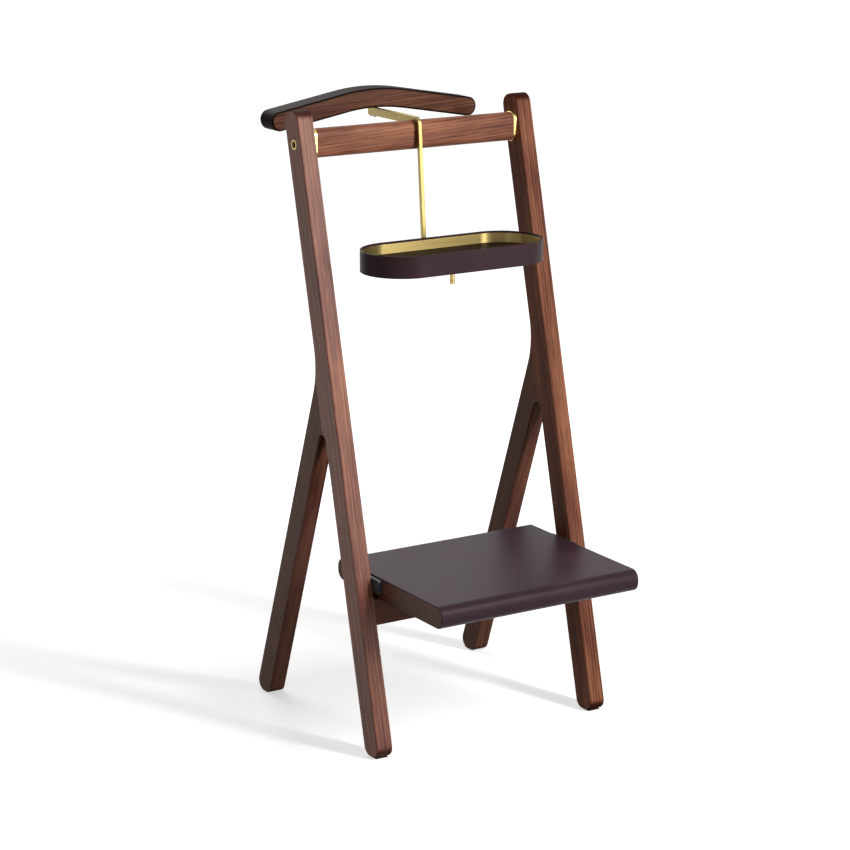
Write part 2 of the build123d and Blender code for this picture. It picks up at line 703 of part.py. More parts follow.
with BuildPart() as shelf_screws:
    for end in (-1, 1):
        with BuildSketch(Plane.YZ.offset(end * (inner_x - glue_gap))):
            with Locations(*shelf_screw_spots()):
                Circle(screw_head_diameter / 2)
        extrude(amount=-end * screw_head_height)
        with BuildSketch(Plane.YZ.offset(end * (inner_x - glue_gap - screw_head_height))):
            with Locations(*shelf_screw_spots()):
                Circle(screw_diameter / 2)
        extrude(amount=-end * bracket_screw_depth)
shelf_screws.part.label = "shelf_screws"
export_step(shelf_screws.part, "parts/shelf_screws.step")

# The tray turns on a pin through the eye at the front end of the bar
tray_top = tray_bottom + tray_height
base_bottom = tray_bottom + tray_base_inset
base_top = base_bottom + tray_base_thickness
base_length = tray_length - 2 * (tray_leather_thickness + glue_gap)
base_depth = tray_depth - 2 * (tray_leather_thickness + glue_gap)
pan_floor_top = base_top + glue_gap + pan_floor
pan_top = tray_top - pan_rim_drop
liner_margin = pan_wall + drill_gap
nut_top = run_under - swivel_gap
cap_top = stub_bottom + stub_cap
pin_end = stub_bottom + stub_floor

with BuildPart() as tray_base:
    with BuildSketch(Plane.XY.offset(base_bottom)):
        with Locations((0, tray_y)):
            SlotOverall(base_length, base_depth)
    extrude(amount=tray_base_thickness)
    with BuildSketch(Plane.XY.offset(base_bottom)):
        with Locations((0, tray_y)):
            Circle(flange_diameter / 2 + glue_gap)
    extrude(amount=flange_thickness + glue_gap, mode=Mode.SUBTRACT)
    with BuildSketch(Plane.XY.offset(base_bottom)):
        with Locations((0, tray_y)):
            with PolarLocations(flange_screw_circle, 3, start_angle=90):
                Circle(screw_diameter / 2 + thread_gap)
    extrude(amount=flange_screw_length + drill_run_out, mode=Mode.SUBTRACT)
tray_base.part.label = "tray_base"
export_step(tray_base.part, "parts/tray_base.step")

with BuildPart() as tray_pan:
    with BuildSketch(Plane.XY.offset(base_top + glue_gap)):
        with Locations((0, tray_y)):
            SlotOverall(base_length, base_depth)
    extrude(amount=pan_top - base_top - glue_gap)
    with BuildSketch(Plane.XY.offset(pan_floor_top)):
        with Locations((0, tray_y)):
            SlotOverall(base_length - 2 * pan_wall, base_depth - 2 * pan_wall)
    extrude(amount=tray_height, mode=Mode.SUBTRACT)
tray_pan.part.label = "tray_pan"
export_step(tray_pan.part, "parts/tray_pan.step")

with BuildPart() as tray_band:
    with BuildSketch(Plane.XY.offset(tray_bottom)):
        with Locations((0, tray_y)):
            SlotOverall(tray_length, tray_depth)
            SlotOverall(base_length + 2 * glue_gap, base_depth + 2 * glue_gap, mode=Mode.SUBTRACT)
    extrude(amount=tray_height)
    fillet(tray_band.faces().filter_by(Axis.Z).edges(), tray_edge)
tray_band.part.label = "tray_band"
export_step(tray_band.part, "parts/tray_band.step")

with BuildPart() as tray_liner:
    with BuildSketch(Plane.XY.offset(pan_floor_top + glue_gap)):
        with Locations((0, tray_y)):
            SlotOverall(base_length - 2 * liner_margin, base_depth - 2 * liner_margin)
    extrude(amount=liner_thickness)
tray_liner.part.label = "tray_liner"
export_step(tray_liner.part, "parts/tray_liner.step")

with BuildPart() as pivot_pin:
    with BuildSketch(Plane.XY.offset(base_bottom)):
        with Locations((0, tray_y)):
            Circle(flange_diameter / 2)
    extrude(amount=flange_thickness)
    with BuildSketch(Plane.XY.offset(base_bottom)):
        with Locations((0, tray_y)):
            Circle(boss_diameter / 2)
    extrude(amount=run_top + swivel_gap - base_bottom)
    with BuildSketch(Plane.XY.offset(base_bottom)):
        with Locations((0, tray_y)):
            Circle(pin_diameter / 2)
    extrude(amount=nut_top - base_bottom)
    with BuildSketch(Plane.XY.offset(nut_top)):
        with Locations((0, tray_y)):
            Circle(stub_thread / 2)
    extrude(amount=pin_end - nut_top)
    with BuildSketch(Plane.XY.offset(base_bottom)):
        with Locations((0, tray_y)):
            with PolarLocations(flange_screw_circle, 3, start_angle=90):
                Circle(screw_diameter / 2 + drill_gap)
    extrude(amount=flange_thickness, mode=Mode.SUBTRACT)
    with BuildSketch(Plane.XY.offset(base_bottom)):
        with Locations((0, tray_y)):
            with PolarLocations(flange_screw_circle, 3, start_angle=90):
                Circle(screw_head_diameter / 2 + drill_gap)
    extrude(amount=screw_head_height + drill_gap, mode=Mode.SUBTRACT)
pivot_pin.part.label = "pivot_pin"
export_step(pivot_pin.part, "parts/pivot_pin.step")

with BuildPart() as pivot_screws:
    head_z = base_bottom + screw_head_height + drill_gap - glue_gap
    with BuildSketch(Plane.XY.offset(head_z)):
        with Locations((0, tray_y)):
            with PolarLocations(flange_screw_circle, 3, start_angle=90):
                Circle(screw_diameter / 2)
    extrude(amount=base_bottom + flange_screw_length - head_z)
    with BuildSketch(Plane.XY.offset(head_z)):
        with Locations((0, tray_y)):
            with PolarLocations(flange_screw_circle, 3, start_angle=90):
                Circle(screw_head_diameter / 2)
    extrude(amount=-screw_head_height)
pivot_screws.part.label = "pivot_screws"
export_step(pivot_screws.part, "parts/pivot_screws.step")

with BuildPart() as pivot_nut:
    with BuildSketch(Plane.XY.offset(cap_top + glue_gap)):
        with Locations((0, tray_y)):
            Circle(stub_diameter / 2)
            Circle(stub_thread / 2 + thread_gap, mode=Mode.SUBTRACT)
    extrude(amount=nut_top - cap_top - 2 * glue_gap)
    chamfer(pivot_nut.edges().group_by(SortBy.LENGTH)[-1].filter_by(GeomType.CIRCLE), stub_chamfer)
pivot_nut.part.label = "pivot_nut"
export_step(pivot_nut.part, "parts/pivot_nut.step")

with BuildPart() as pivot_cap:
    with BuildSketch(Plane.XY.offset(stub_bottom)):
        with Locations((0, tray_y)):
            Circle(stub_diameter / 2)
    extrude(amount=stub_cap)
    with BuildSketch(Plane.XY.offset(cap_top)):
        with Locations((0, tray_y)):
            Circle(stub_thread / 2 + thread_gap)
    extrude(amount=pin_end - cap_top - drill_gap, mode=Mode.SUBTRACT)
    chamfer(pivot_cap.faces().sort_by(Axis.Z)[0].edges(), stub_chamfer)
pivot_cap.part.label = "pivot_cap"
export_step(pivot_cap.part, "parts/pivot_cap.step")
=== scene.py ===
import math

import bmesh
import bpy
from bpy.props import FloatProperty, FloatVectorProperty, PointerProperty
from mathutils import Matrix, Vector


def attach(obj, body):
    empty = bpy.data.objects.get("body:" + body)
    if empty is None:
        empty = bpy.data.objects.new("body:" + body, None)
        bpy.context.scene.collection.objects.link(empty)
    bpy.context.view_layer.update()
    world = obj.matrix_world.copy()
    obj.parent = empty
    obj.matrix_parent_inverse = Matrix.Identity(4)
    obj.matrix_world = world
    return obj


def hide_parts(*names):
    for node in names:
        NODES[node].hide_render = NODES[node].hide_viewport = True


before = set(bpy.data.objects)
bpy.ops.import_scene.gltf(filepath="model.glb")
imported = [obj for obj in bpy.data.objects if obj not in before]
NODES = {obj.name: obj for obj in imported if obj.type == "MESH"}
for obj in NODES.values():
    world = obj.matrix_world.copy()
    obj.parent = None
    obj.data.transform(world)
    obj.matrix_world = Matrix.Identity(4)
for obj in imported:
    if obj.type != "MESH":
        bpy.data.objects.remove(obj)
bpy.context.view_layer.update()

bl_info = {
    "name": "Valet stand",
    "version": (1, 0, 0),
    "blender": (4, 5, 0),
    "location": "View3D > Sidebar > Valet",
    "description": "Finishes a clothes valet stand in walnut, leather and brass and sets it in a studio",
    "category": "Object",
}

MM = 0.001
MERGE_DISTANCE = 0.001 * MM
QUARTER_TURN = math.pi / 2
WHITE = (1.0, 1.0, 1.0, 1.0)

# Nearly all values of a noise texture lie in this span
NOISE_SPAN = (0.3, 0.7)


def linear(hex_colour):
    """Turns an sRGB hex colour such as #6E4431 into linear red, green and blue."""
    channels = [int(hex_colour[i:i + 2], 16) / 255 for i in (1, 3, 5)]
    return [c / 12.92 if c <= 0.04045 else ((c + 0.055) / 1.055) ** 2.4 for c in channels]


def colour(name, description, hex_colour):
    """Returns a colour that the user can change."""
    return FloatVectorProperty(
        name=name, description=description, subtype="COLOR", size=3, min=0, max=1, default=linear(hex_colour)
    )


def length(name, description, millimetres):
    """Returns a length that the user can change."""
    return FloatProperty(
        name=name, description=description, subtype="DISTANCE", unit="LENGTH", min=0, default=millimetres * MM
    )


def angle(name, description, degrees):
    """Returns an angle that the user can change."""
    return FloatProperty(
        name=name, description=description, subtype="ANGLE", unit="ROTATION", default=math.radians(degrees)
    )


class ValetColours(bpy.types.PropertyGroup):
    """Colours of the stand's materials and of the floor"""

    walnut_light: colour("Walnut light", "Pale early wood of the walnut", "#A36B50")
    walnut_mid: colour("Walnut mid", "Main tone of the oiled walnut", "#804E3D")
    walnut_dark: colour("Walnut dark", "Dark late wood of the walnut", "#552D26")
    walnut_pore: colour("Walnut pore", "Open pores between the fibres", "#2A1711")
    walnut_end: colour("Walnut end", "End grain, where the oil soaks in", "#32130A")
    leather: colour("Shelf leather", "Plum saddle leather round the shelf", "#35222B")
    tray_leather: colour("Tray leather", "Plum-brown saddle leather round the tray", "#38252A")
    band_leather: colour("Band leather", "Almost black leather round the hanger", "#261C19")
    liner_leather: colour("Liner leather", "Dark leather on the tray's floor", "#2A1C15")
    brass: colour("Brass", "Satin brass of bar, collars and tray", "#B8A267")
    steel: colour("Steel", "Screws and threaded inserts", "#9C9C9E")
    black_steel: colour("Black steel", "Blackened bolts in the uprights", "#3A322E")
    plate: colour("Shelf plate", "Blue-grey coated steel plates beside the shelf", "#30343B")
    beech: colour("Dowel", "Beech dowels inside the joints", "#B98F62")
    felt: colour("Glide felt", "Felt pads below the feet", "#3F2A22")
    floor: colour("Floor", "Pale studio floor", "#F4F4F3")
    floor_bounce: colour("Floor bounce", "Tone of the floor in the light that it throws back", "#8C8C8B")


# Fibres, pores and brushed lines are finer on the real stand, and are drawn coarse enough to show in the picture
class ValetSizes(bpy.types.PropertyGroup):
    """Sizes of the patterns in the materials, of the screws and of the camera's place"""

    upright_lean: angle("Upright lean", "Angle of the uprights' grain from upright", 13.7)
    rear_leg_lean: angle("Rear leg lean", "Angle of the rear legs' grain from upright", 20.3)
    bar_grain_slope: angle("Bar grain slope", "Angle at which the grain runs out of the level bars", 3.0)
    ring_width: length("Ring width", "Width of one growth ring", 6)
    ring_reach: length("Ring reach", "From a piece to the heart of its tree", 140)
    fibre_width: length("Fibre width", "Width of one streak of fibres, drawn wide enough to show", 2.2)
    fibre_length: length("Fibre length", "Length over which a streak of fibres changes", 180)
    pore_width: length("Pore width", "Width of one pore, drawn wide enough to show", 1.5)
    pore_length: length("Pore length", "Length of one pore, drawn long enough to show", 36)
    cloud_width: length("Cloud width", "Width of the slow changes of tone across a plank", 26)
    cloud_length: length("Cloud length", "Length of the slow changes of tone along a plank", 150)
    leather_pore: length("Leather pore", "Spacing of the leather's pores, drawn wide enough to show", 1.6)
    leather_cloud: length("Leather cloud", "Width of the faint clouds in the leather's dye", 70)
    brush_line: length("Brush line", "Spacing of the brushed lines on the brass, drawn wide enough to show", 0.8)
    bar_stroke: length("Bar stroke", "Length of a brushed line along the brass bar", 25)
    wall_stroke: length("Wall stroke", "Length of a brushed line round the tray's wall", 166.7)
    screw_head: length("Screw head", "Diameter of a screw's head", 6.4)
    screw_head_height: length("Screw head height", "Height of a screw's head", 2.4)
    screw_shank: length("Screw shank", "Diameter of a screw's shank", 3.5)
    cross_length: length("Cross length", "Length of each arm of the cross in a screw's head", 3.8)
    cross_width: length("Cross width", "Width of each arm of the cross in a screw's head", 0.9)
    cross_depth: length("Cross depth", "Depth of the cross in a screw's head", 1.3)
    camera_azimuth: angle("Camera azimuth", "Camera's turn to the stand's left", -31.7)
    camera_elevation: angle("Camera elevation", "Camera's height above level", 14.44)
    camera_distance: length("Camera distance", "From the camera to the point it aims at", 4600)


def colours():
    """Returns the colours as the user has set them."""
    return bpy.context.scene.valet_colours


def sizes():
    """Returns the sizes as the user has set them."""
    return bpy.context.scene.valet_sizes


def rgba(value):
    """Returns a colour with full cover added."""
    return (*value, 1.0)


def add(tree, kind, links=None, **settings):
    """Adds one node, sets its properties, and links or sets the inputs named in links."""
    node = tree.nodes.new(kind)
    for key, value in settings.items():
        setattr(node, key, value)
    for key, value in (links or {}).items():
        if isinstance(value, bpy.types.NodeSocket):
            tree.links.new(value, node.inputs[key])
        elif isinstance(value, list):
            for source in value:
                tree.links.new(source, node.inputs[key])
        else:
            node.inputs[key].default_value = value
    return node


def new_material(name):
    """Returns a new material's node tree, its shader and the material."""
    material = bpy.data.materials.new(name)
    material.use_nodes = True
    tree = material.node_tree
    return tree, tree.nodes["Principled BSDF"], material


def finish_nodes(material, *names):
    """Gives CAD nodes a finish; their meshes stay as they are."""
    for name in names:
        for slot in NODES[name].material_slots:
            slot.material = material


# Walnut's figure: what each part adds to the darkness, and the darkness at which each tone stands
BASE_DARKNESS = 0.08
RING_DARKNESS = 0.1
FIBRE_DARKNESS = 0.38
CLOUD_DARKNESS = 0.36
LIGHT_STOP, MID_STOP, DARK_STOP = 0.38, 0.5, 0.62

# A wave texture at scale 1 repeats at this distance
WAVE_REPEAT = math.pi / 10

# The heart of the tree lies to one side of a piece, and this share of that distance to the next side
HEART_ASIDE = 0.6

# Where in the noise a pore starts and is fully open, how dark it gets, and how deep it is
PORE_SPAN = (0.57, 0.7)
PORE_COVER = 0.45
PORE_RELIEF = 0.3
PORE_DEPTH = 0.2 * MM

# How far a face has to look along the grain for end grain to start and to be full, and how far that covers the wood
END_SPAN = (0.06, 0.45)
END_COVER = 0.92

WALNUT_ROUGHNESS = (0.5, 0.4)
END_ROUGHNESS = 0.9
WALNUT_IOR = 1.5


# Oiled walnut, planed and sanded: growth rings cut into long lines, fine dark pores, a low satin shine, and end
# grain that has drunk the oil and is dark and dull
def walnut(name, turn, tone, shine, warmth=1.0):
    """Turn lays the grain along the piece; shine and warmth are those of the plank that it is cut from. Tone is set
    piece by piece, partly as the plank's own tone and partly as painted light and shade: lighter on lit pieces,
    darker on shaded ones.
    """
    tree, shader, material = new_material(name)
    size, tint = sizes(), colours()
    surface = add(tree, "ShaderNodeTexCoord")
    heart = (size.ring_reach, HEART_ASIDE * size.ring_reach, 0)
    along = add(
        tree, "ShaderNodeMapping", {"Vector": surface.outputs["Object"], "Rotation": turn, "Location": heart}
    ).outputs["Vector"]
    long, short, broad = [
        add(tree, "ShaderNodeVectorMath", {0: along, 1: (1, 1, draw)}, operation="MULTIPLY").outputs[0]
        for draw in (
            size.fibre_width / size.fibre_length,
            size.pore_width / size.pore_length,
            size.cloud_width / size.cloud_length,
        )
    ]
    rings = add(
        tree, "ShaderNodeTexWave",
        {
            "Vector": short, "Scale": WAVE_REPEAT / size.ring_width, "Distortion": 5.0,
            "Detail": 3.0, "Detail Scale": 0.35, "Detail Roughness": 0.55,
        },
        wave_type="RINGS", rings_direction="Z", wave_profile="SAW"
    ).outputs["Fac"]
    cloud, fibre, pore = [
        add(
            tree, "ShaderNodeTexNoise", {"Vector": spot, "Scale": 1 / width, "Detail": detail, "Roughness": 0.55}
        ).outputs["Fac"]
        for spot, width, detail in (
            (broad, size.cloud_width, 3.0), (long, size.fibre_width, 3.0), (short, size.pore_width, 1.0)
        )
    ]
    shade = BASE_DARKNESS
    for figure, darkness in ((rings, RING_DARKNESS), (fibre, FIBRE_DARKNESS), (cloud, CLOUD_DARKNESS)):
        shade = add(
            tree, "ShaderNodeMath", {0: figure, 1: darkness, 2: shade}, operation="MULTIPLY_ADD"
        ).outputs[0]
    ramp = add(tree, "ShaderNodeValToRGB", {"Fac": shade})
    stops = ramp.color_ramp.elements
    # The tone scales all three stops, so a piece that stands in light or shade carries painted light or painted
    # shade in its colour
    plank = Vector((tone, tone, tone / warmth))
    stops[0].position, stops[0].color = LIGHT_STOP, rgba(plank * Vector(tint.walnut_light))
    stops[1].position, stops[1].color = DARK_STOP, rgba(plank * Vector(tint.walnut_dark))
    stops.new(MID_STOP).color = rgba(plank * Vector(tint.walnut_mid))
    open_pore = add(
        tree, "ShaderNodeMapRange",
        {"Value": pore, "From Min": PORE_SPAN[0], "From Max": PORE_SPAN[1], "To Min": 0, "To Max": PORE_COVER}
    ).outputs["Result"]
    wood = add(
        tree, "ShaderNodeMix", {"Factor": open_pore, "A": ramp.outputs["Color"], "B": rgba(tint.walnut_pore)},
        data_type="RGBA"
    ).outputs["Result"]
    facing = add(
        tree, "ShaderNodeMapping", {"Vector": surface.outputs["Normal"], "Rotation": turn}, vector_type="VECTOR"
    ).outputs["Vector"]
    lengthwise = add(
        tree, "ShaderNodeVectorMath", {0: facing, 1: (0, 0, 1)}, operation="DOT_PRODUCT"
    ).outputs["Value"]
    across = add(tree, "ShaderNodeMath", {0: lengthwise}, operation="ABSOLUTE").outputs[0]
    end_grain = add(
        tree, "ShaderNodeMapRange",
        {"Value": across, "From Min": END_SPAN[0], "From Max": END_SPAN[1], "To Min": 0, "To Max": END_COVER}
    ).outputs["Result"]
    wood = add(
        tree, "ShaderNodeMix", {"Factor": end_grain, "A": wood, "B": rgba(tint.walnut_end)}, data_type="RGBA"
    ).outputs["Result"]
    tree.links.new(wood, shader.inputs["Base Color"])
    gloss = add(
        tree, "ShaderNodeMapRange",
        {
            "Value": fibre, "From Min": NOISE_SPAN[0], "From Max": NOISE_SPAN[1],
            "To Min": WALNUT_ROUGHNESS[0], "To Max": WALNUT_ROUGHNESS[1],
        }
    ).outputs["Result"]
    rough_end = add(
        tree, "ShaderNodeMix", {"Factor": end_grain, "A": gloss, "B": END_ROUGHNESS}, data_type="FLOAT"
    ).outputs["Result"]
    tree.links.new(rough_end, shader.inputs["Roughness"])
    bump = add(
        tree, "ShaderNodeBump", {"Height": pore, "Strength": PORE_RELIEF, "Distance": PORE_DEPTH}, invert=True
    ).outputs["Normal"]
    tree.links.new(bump, shader.inputs["Normal"])
    shader.inputs["IOR"].default_value = WALNUT_IOR
    shader.inputs["Specular IOR Level"].default_value = shine
    return material


# Leather: the span of noise and of tone in its dye, how its gloss varies, and its pores
DYE_SPAN = (0.35, 0.65)
DYE_SPREAD = 0.15
GLOSS_SPREAD = 0.02
LEATHER_RELIEF = 0.12
LEATHER_DEPTH = 0.2 * MM
LEATHER_IOR = 1.48


# Vegetable-tanned leather, dyed through and waxed: close pores, a soft sheen, faint clouds in the dye
def waxed_leather(name, dye, roughness, shine):
    """Dye is the leather's colour; the less it was waxed, the lower its shine."""
    tree, shader, material = new_material(name)
    size = sizes()
    place = add(tree, "ShaderNodeTexCoord").outputs["Object"]
    cloud = add(
        tree, "ShaderNodeTexNoise", {"Vector": place, "Scale": 1 / size.leather_cloud, "Detail": 5.0}
    ).outputs["Fac"]
    ramp = add(tree, "ShaderNodeValToRGB", {"Fac": cloud})
    for stop, position, strength in zip(ramp.color_ramp.elements, DYE_SPAN, (1 - DYE_SPREAD, 1 + DYE_SPREAD)):
        stop.position, stop.color = position, rgba([c * strength for c in dye])
    tree.links.new(ramp.outputs["Color"], shader.inputs["Base Color"])
    pores = add(
        tree, "ShaderNodeTexVoronoi", {"Vector": place, "Scale": 1 / size.leather_pore}, feature="F1"
    ).outputs["Distance"]
    bump = add(
        tree, "ShaderNodeBump", {"Height": pores, "Strength": LEATHER_RELIEF, "Distance": LEATHER_DEPTH}
    ).outputs["Normal"]
    tree.links.new(bump, shader.inputs["Normal"])
    gloss = add(
        tree, "ShaderNodeMapRange",
        {
            "Value": cloud, "From Min": NOISE_SPAN[0], "From Max": NOISE_SPAN[1],
            "To Min": roughness - GLOSS_SPREAD, "To Max": roughness + GLOSS_SPREAD,
        }
    ).outputs["Result"]
    tree.links.new(gloss, shader.inputs["Roughness"])
    shader.inputs["IOR"].default_value = LEATHER_IOR
    shader.inputs["Specular IOR Level"].default_value = shine
    return material


# Brass: how far the brushed lines vary its roughness, and the turn that makes them stretch reflections upright
BRUSH_SPREAD = 0.06
BRUSH_TURN = 0.25


# Satin brass, brushed by hand: a pale yellow, with fine lines that soften the reflections. Where all lines run one
# way, as round the tray's wall, a reflection stretches into an upright bright band
def satin_brass(name, strokes, roughness, tone, brushed):
    """Strokes are the brushed lines' lengths along x, y and z; brushed says how far they all run one way."""
    tree, shader, material = new_material(name)
    place = add(tree, "ShaderNodeTexCoord").outputs["Object"]
    per_metre = tuple(1 / stroke for stroke in strokes)
    spot = add(tree, "ShaderNodeVectorMath", {0: place, 1: per_metre}, operation="MULTIPLY").outputs[0]
    lines = add(tree, "ShaderNodeTexNoise", {"Vector": spot, "Scale": 1.0, "Detail": 3.0}).outputs["Fac"]
    gloss = add(
        tree, "ShaderNodeMapRange",
        {
            "Value": lines, "From Min": NOISE_SPAN[0], "From Max": NOISE_SPAN[1],
            "To Min": roughness - BRUSH_SPREAD, "To Max": roughness + BRUSH_SPREAD,
        }
    ).outputs["Result"]
    tree.links.new(gloss, shader.inputs["Roughness"])
    # Tone scales the brass colour piece by piece and is partly painted light and shade: brighter on the turned
    # collars, darker on the bar
    shader.inputs["Base Color"].default_value = rgba([min(c * tone, 1.0) for c in colours().brass])
    shader.inputs["Metallic"].default_value = 1.0
    shader.inputs["Anisotropic"].default_value = brushed
    shader.inputs["Anisotropic Rotation"].default_value = BRUSH_TURN
    return material


# Plain finishes vary between these shares of their colour
SPECK_SHARES = (0.85, 1.12)


# Plain finishes with a faint speckle: beech, felt and three kinds of steel, each described where it is made
def plain(name, tint, roughness, metallic, grit):
    """Grit is the size of the specks, drawn coarse enough to show."""
    tree, shader, material = new_material(name)
    place = add(tree, "ShaderNodeTexCoord").outputs["Object"]
    speck = add(tree, "ShaderNodeTexNoise", {"Vector": place, "Scale": 1 / grit, "Detail": 3.0}).outputs["Fac"]
    ramp = add(tree, "ShaderNodeValToRGB", {"Fac": speck})
    for stop, position, share in zip(ramp.color_ramp.elements, NOISE_SPAN, SPECK_SHARES):
        stop.position, stop.color = position, rgba([min(c * share, 1.0) for c in tint])
    tree.links.new(ramp.outputs["Color"], shader.inputs["Base Color"])
    shader.inputs["Roughness"].default_value = roughness
    shader.inputs["Metallic"].default_value = metallic
    return material


def level_grain():
    """Returns the turn that lays the grain along a level bar, at a slight slope as in a sawn plank."""
    return 0, sizes().bar_grain_slope - QUARTER_TURN, 0


def solids_of(node):
    """Returns the points of each separate solid in a CAD node; the node's own mesh stays as it is."""
    copy = bmesh.new()
    copy.from_mesh(NODES[node].data)
    bmesh.ops.remove_doubles(copy, verts=copy.verts, dist=MERGE_DISTANCE)
    copy.verts.index_update()
    seen = set()
    solids = []
    for start in copy.verts:
        if start.index in seen:
            continue
        seen.add(start.index)
        waiting = [start]
        points = []
        while waiting:
            vertex = waiting.pop()
            points.append(vertex.co.copy())
            for edge in vertex.link_edges:
                other = edge.other_vert(vertex)
                if other.index not in seen:
                    seen.add(other.index)
                    waiting.append(other)
        solids.append(points)
    copy.free()
    return solids


def screw_place(points):
    """Returns where a screw's head starts, the direction to its tip and its length."""
    low = Vector([min(point[i] for point in points) for i in range(3)])
    high = Vector([max(point[i] for point in points) for i in range(3)])
    spans = high - low
    axis = max(range(3), key=lambda i: spans[i])
    middle = (low + high) / 2
    from_axis = [i for i in range(3) if i != axis]
    widest = max(points, key=lambda point: sum((point[i] - middle[i]) ** 2 for i in from_axis))
    head, tip = middle.copy(), middle.copy()
    head[axis], tip[axis] = (high[axis], low[axis]) if widest[axis] > middle[axis] else (low[axis], high[axis])
    return head, (tip - head).normalized(), spans[axis]


SCREW_SIZES = ("Head", "Head height", "Shank", "Length", "Cross length", "Cross width", "Cross depth")

# A screw's head narrows towards its crown, whose radius is this share of the head's diameter
CROWN_SHARE = 0.39
HEAD_SIDES = 28
SHANK_SIDES = 20


def screw_tree():
    """Builds the Geometry Nodes tree that sets a cross-head screw at each point, along the point's tip."""
    tree = bpy.data.node_groups.new("Cross-head screws", "GeometryNodeTree")
    face = tree.interface
    face.new_socket("Geometry", in_out="INPUT", socket_type="NodeSocketGeometry")
    for name in SCREW_SIZES:
        face.new_socket(name, in_out="INPUT", socket_type="NodeSocketFloat").subtype = "DISTANCE"
    face.new_socket("Material", in_out="INPUT", socket_type="NodeSocketMaterial")
    face.new_socket("Geometry", in_out="OUTPUT", socket_type="NodeSocketGeometry")
    given = add(tree, "NodeGroupInput").outputs
    rim = add(tree, "ShaderNodeMath", {0: given["Head"], 1: 0.5}, operation="MULTIPLY").outputs[0]
    crown = add(tree, "ShaderNodeMath", {0: given["Head"], 1: CROWN_SHARE}, operation="MULTIPLY").outputs[0]
    head = add(
        tree, "GeometryNodeMeshCone",
        {"Vertices": HEAD_SIDES, "Radius Top": rim, "Radius Bottom": crown, "Depth": given["Head height"]}
    ).outputs["Mesh"]
    sink = add(tree, "ShaderNodeMath", {0: given["Cross depth"], 1: 2.0}, operation="MULTIPLY").outputs[0]
    arms = []
    for x, y in (("Cross length", "Cross width"), ("Cross width", "Cross length")):
        size = add(tree, "ShaderNodeCombineXYZ", {"X": given[x], "Y": given[y], "Z": sink}).outputs[0]
        arms.append(add(tree, "GeometryNodeMeshCube", {"Size": size}).outputs["Mesh"])
    recessed = add(
        tree, "GeometryNodeMeshBoolean", {"Mesh 1": head, "Mesh 2": arms}, operation="DIFFERENCE"
    ).outputs["Mesh"]
    stem = add(
        tree, "ShaderNodeMath", {0: given["Length"], 1: given["Head height"]}, operation="SUBTRACT"
    ).outputs[0]
    thickness = add(tree, "ShaderNodeMath", {0: given["Shank"], 1: 0.5}, operation="MULTIPLY").outputs[0]
    shank = add(
        tree, "GeometryNodeMeshCylinder", {"Vertices": SHANK_SIDES, "Radius": thickness, "Depth": stem}
    ).outputs["Mesh"]
    reach = add(
        tree, "ShaderNodeMath", {0: stem, 1: 0.5, 2: given["Head height"]}, operation="MULTIPLY_ADD"
    ).outputs[0]
    shift = add(tree, "ShaderNodeCombineXYZ", {"Z": reach}).outputs[0]
    shank = add(tree, "GeometryNodeTransform", {"Geometry": shank, "Translation": shift}).outputs["Geometry"]
    screw = add(tree, "GeometryNodeJoinGeometry", {"Geometry": [recessed, shank]}).outputs["Geometry"]
    tip = add(
        tree, "GeometryNodeInputNamedAttribute", {"Name": "tip"}, data_type="FLOAT_VECTOR"
    ).outputs["Attribute"]
    turn = add(tree, "FunctionNodeAlignRotationToVector", {"Vector": tip}, axis="Z").outputs["Rotation"]
    set_out = add(
        tree, "GeometryNodeInstanceOnPoints", {"Points": given["Geometry"], "Instance": screw, "Rotation": turn}
    ).outputs["Instances"]
    solid = add(tree, "GeometryNodeRealizeInstances", {"Geometry": set_out}).outputs["Geometry"]
    finished = add(
        tree, "GeometryNodeSetMaterial", {"Geometry": solid, "Material": given["Material"]}
    ).outputs["Geometry"]
    add(tree, "NodeGroupOutput", {"Geometry": finished})
    return tree


class VALET_OT_side_frames(bpy.types.Operator):
    """Finishes the uprights and rear legs in walnut, with the grain along each piece"""

    bl_idname = "valet.side_frames"
    bl_label = "Side frames"

    def execute(self, context):
        size, tint = sizes(), colours()
        up, back = (size.upright_lean, 0, 0), (-size.rear_leg_lean, 0, 0)
        # Painted light: the left upright's tone is set lighter than the right upright's, to match how the light
        # falls on it
        finish_nodes(walnut("Oiled walnut, left upright", up, tone=1.27, shine=0.28), "left_upright")
        finish_nodes(
            walnut("Oiled walnut, right upright", up, tone=1.08, shine=0.06, warmth=1.1), "right_upright"
        )
        # Painted shade: the rear legs' low tones darken them as if they stood in the uprights' shadow
        finish_nodes(walnut("Oiled walnut, left rear leg", back, tone=0.66, shine=0.1), "left_rear_leg")
        finish_nodes(walnut("Oiled walnut, right rear leg", back, tone=0.6, shine=0.07), "right_rear_leg")
        # Turned beech: pale, even and dull
        beech = plain("Turned beech", tint.beech, roughness=0.6, metallic=0.0, grit=4 * MM)
        finish_nodes(beech, "left_leg_dowels", "right_leg_dowels", "rail_dowels")
        # Pressed felt: dark, with no shine at all
        felt = plain("Pressed felt", tint.felt, roughness=0.95, metallic=0.0, grit=1.2 * MM)
        finish_nodes(felt, "foot_glides")
        return {"FINISHED"}


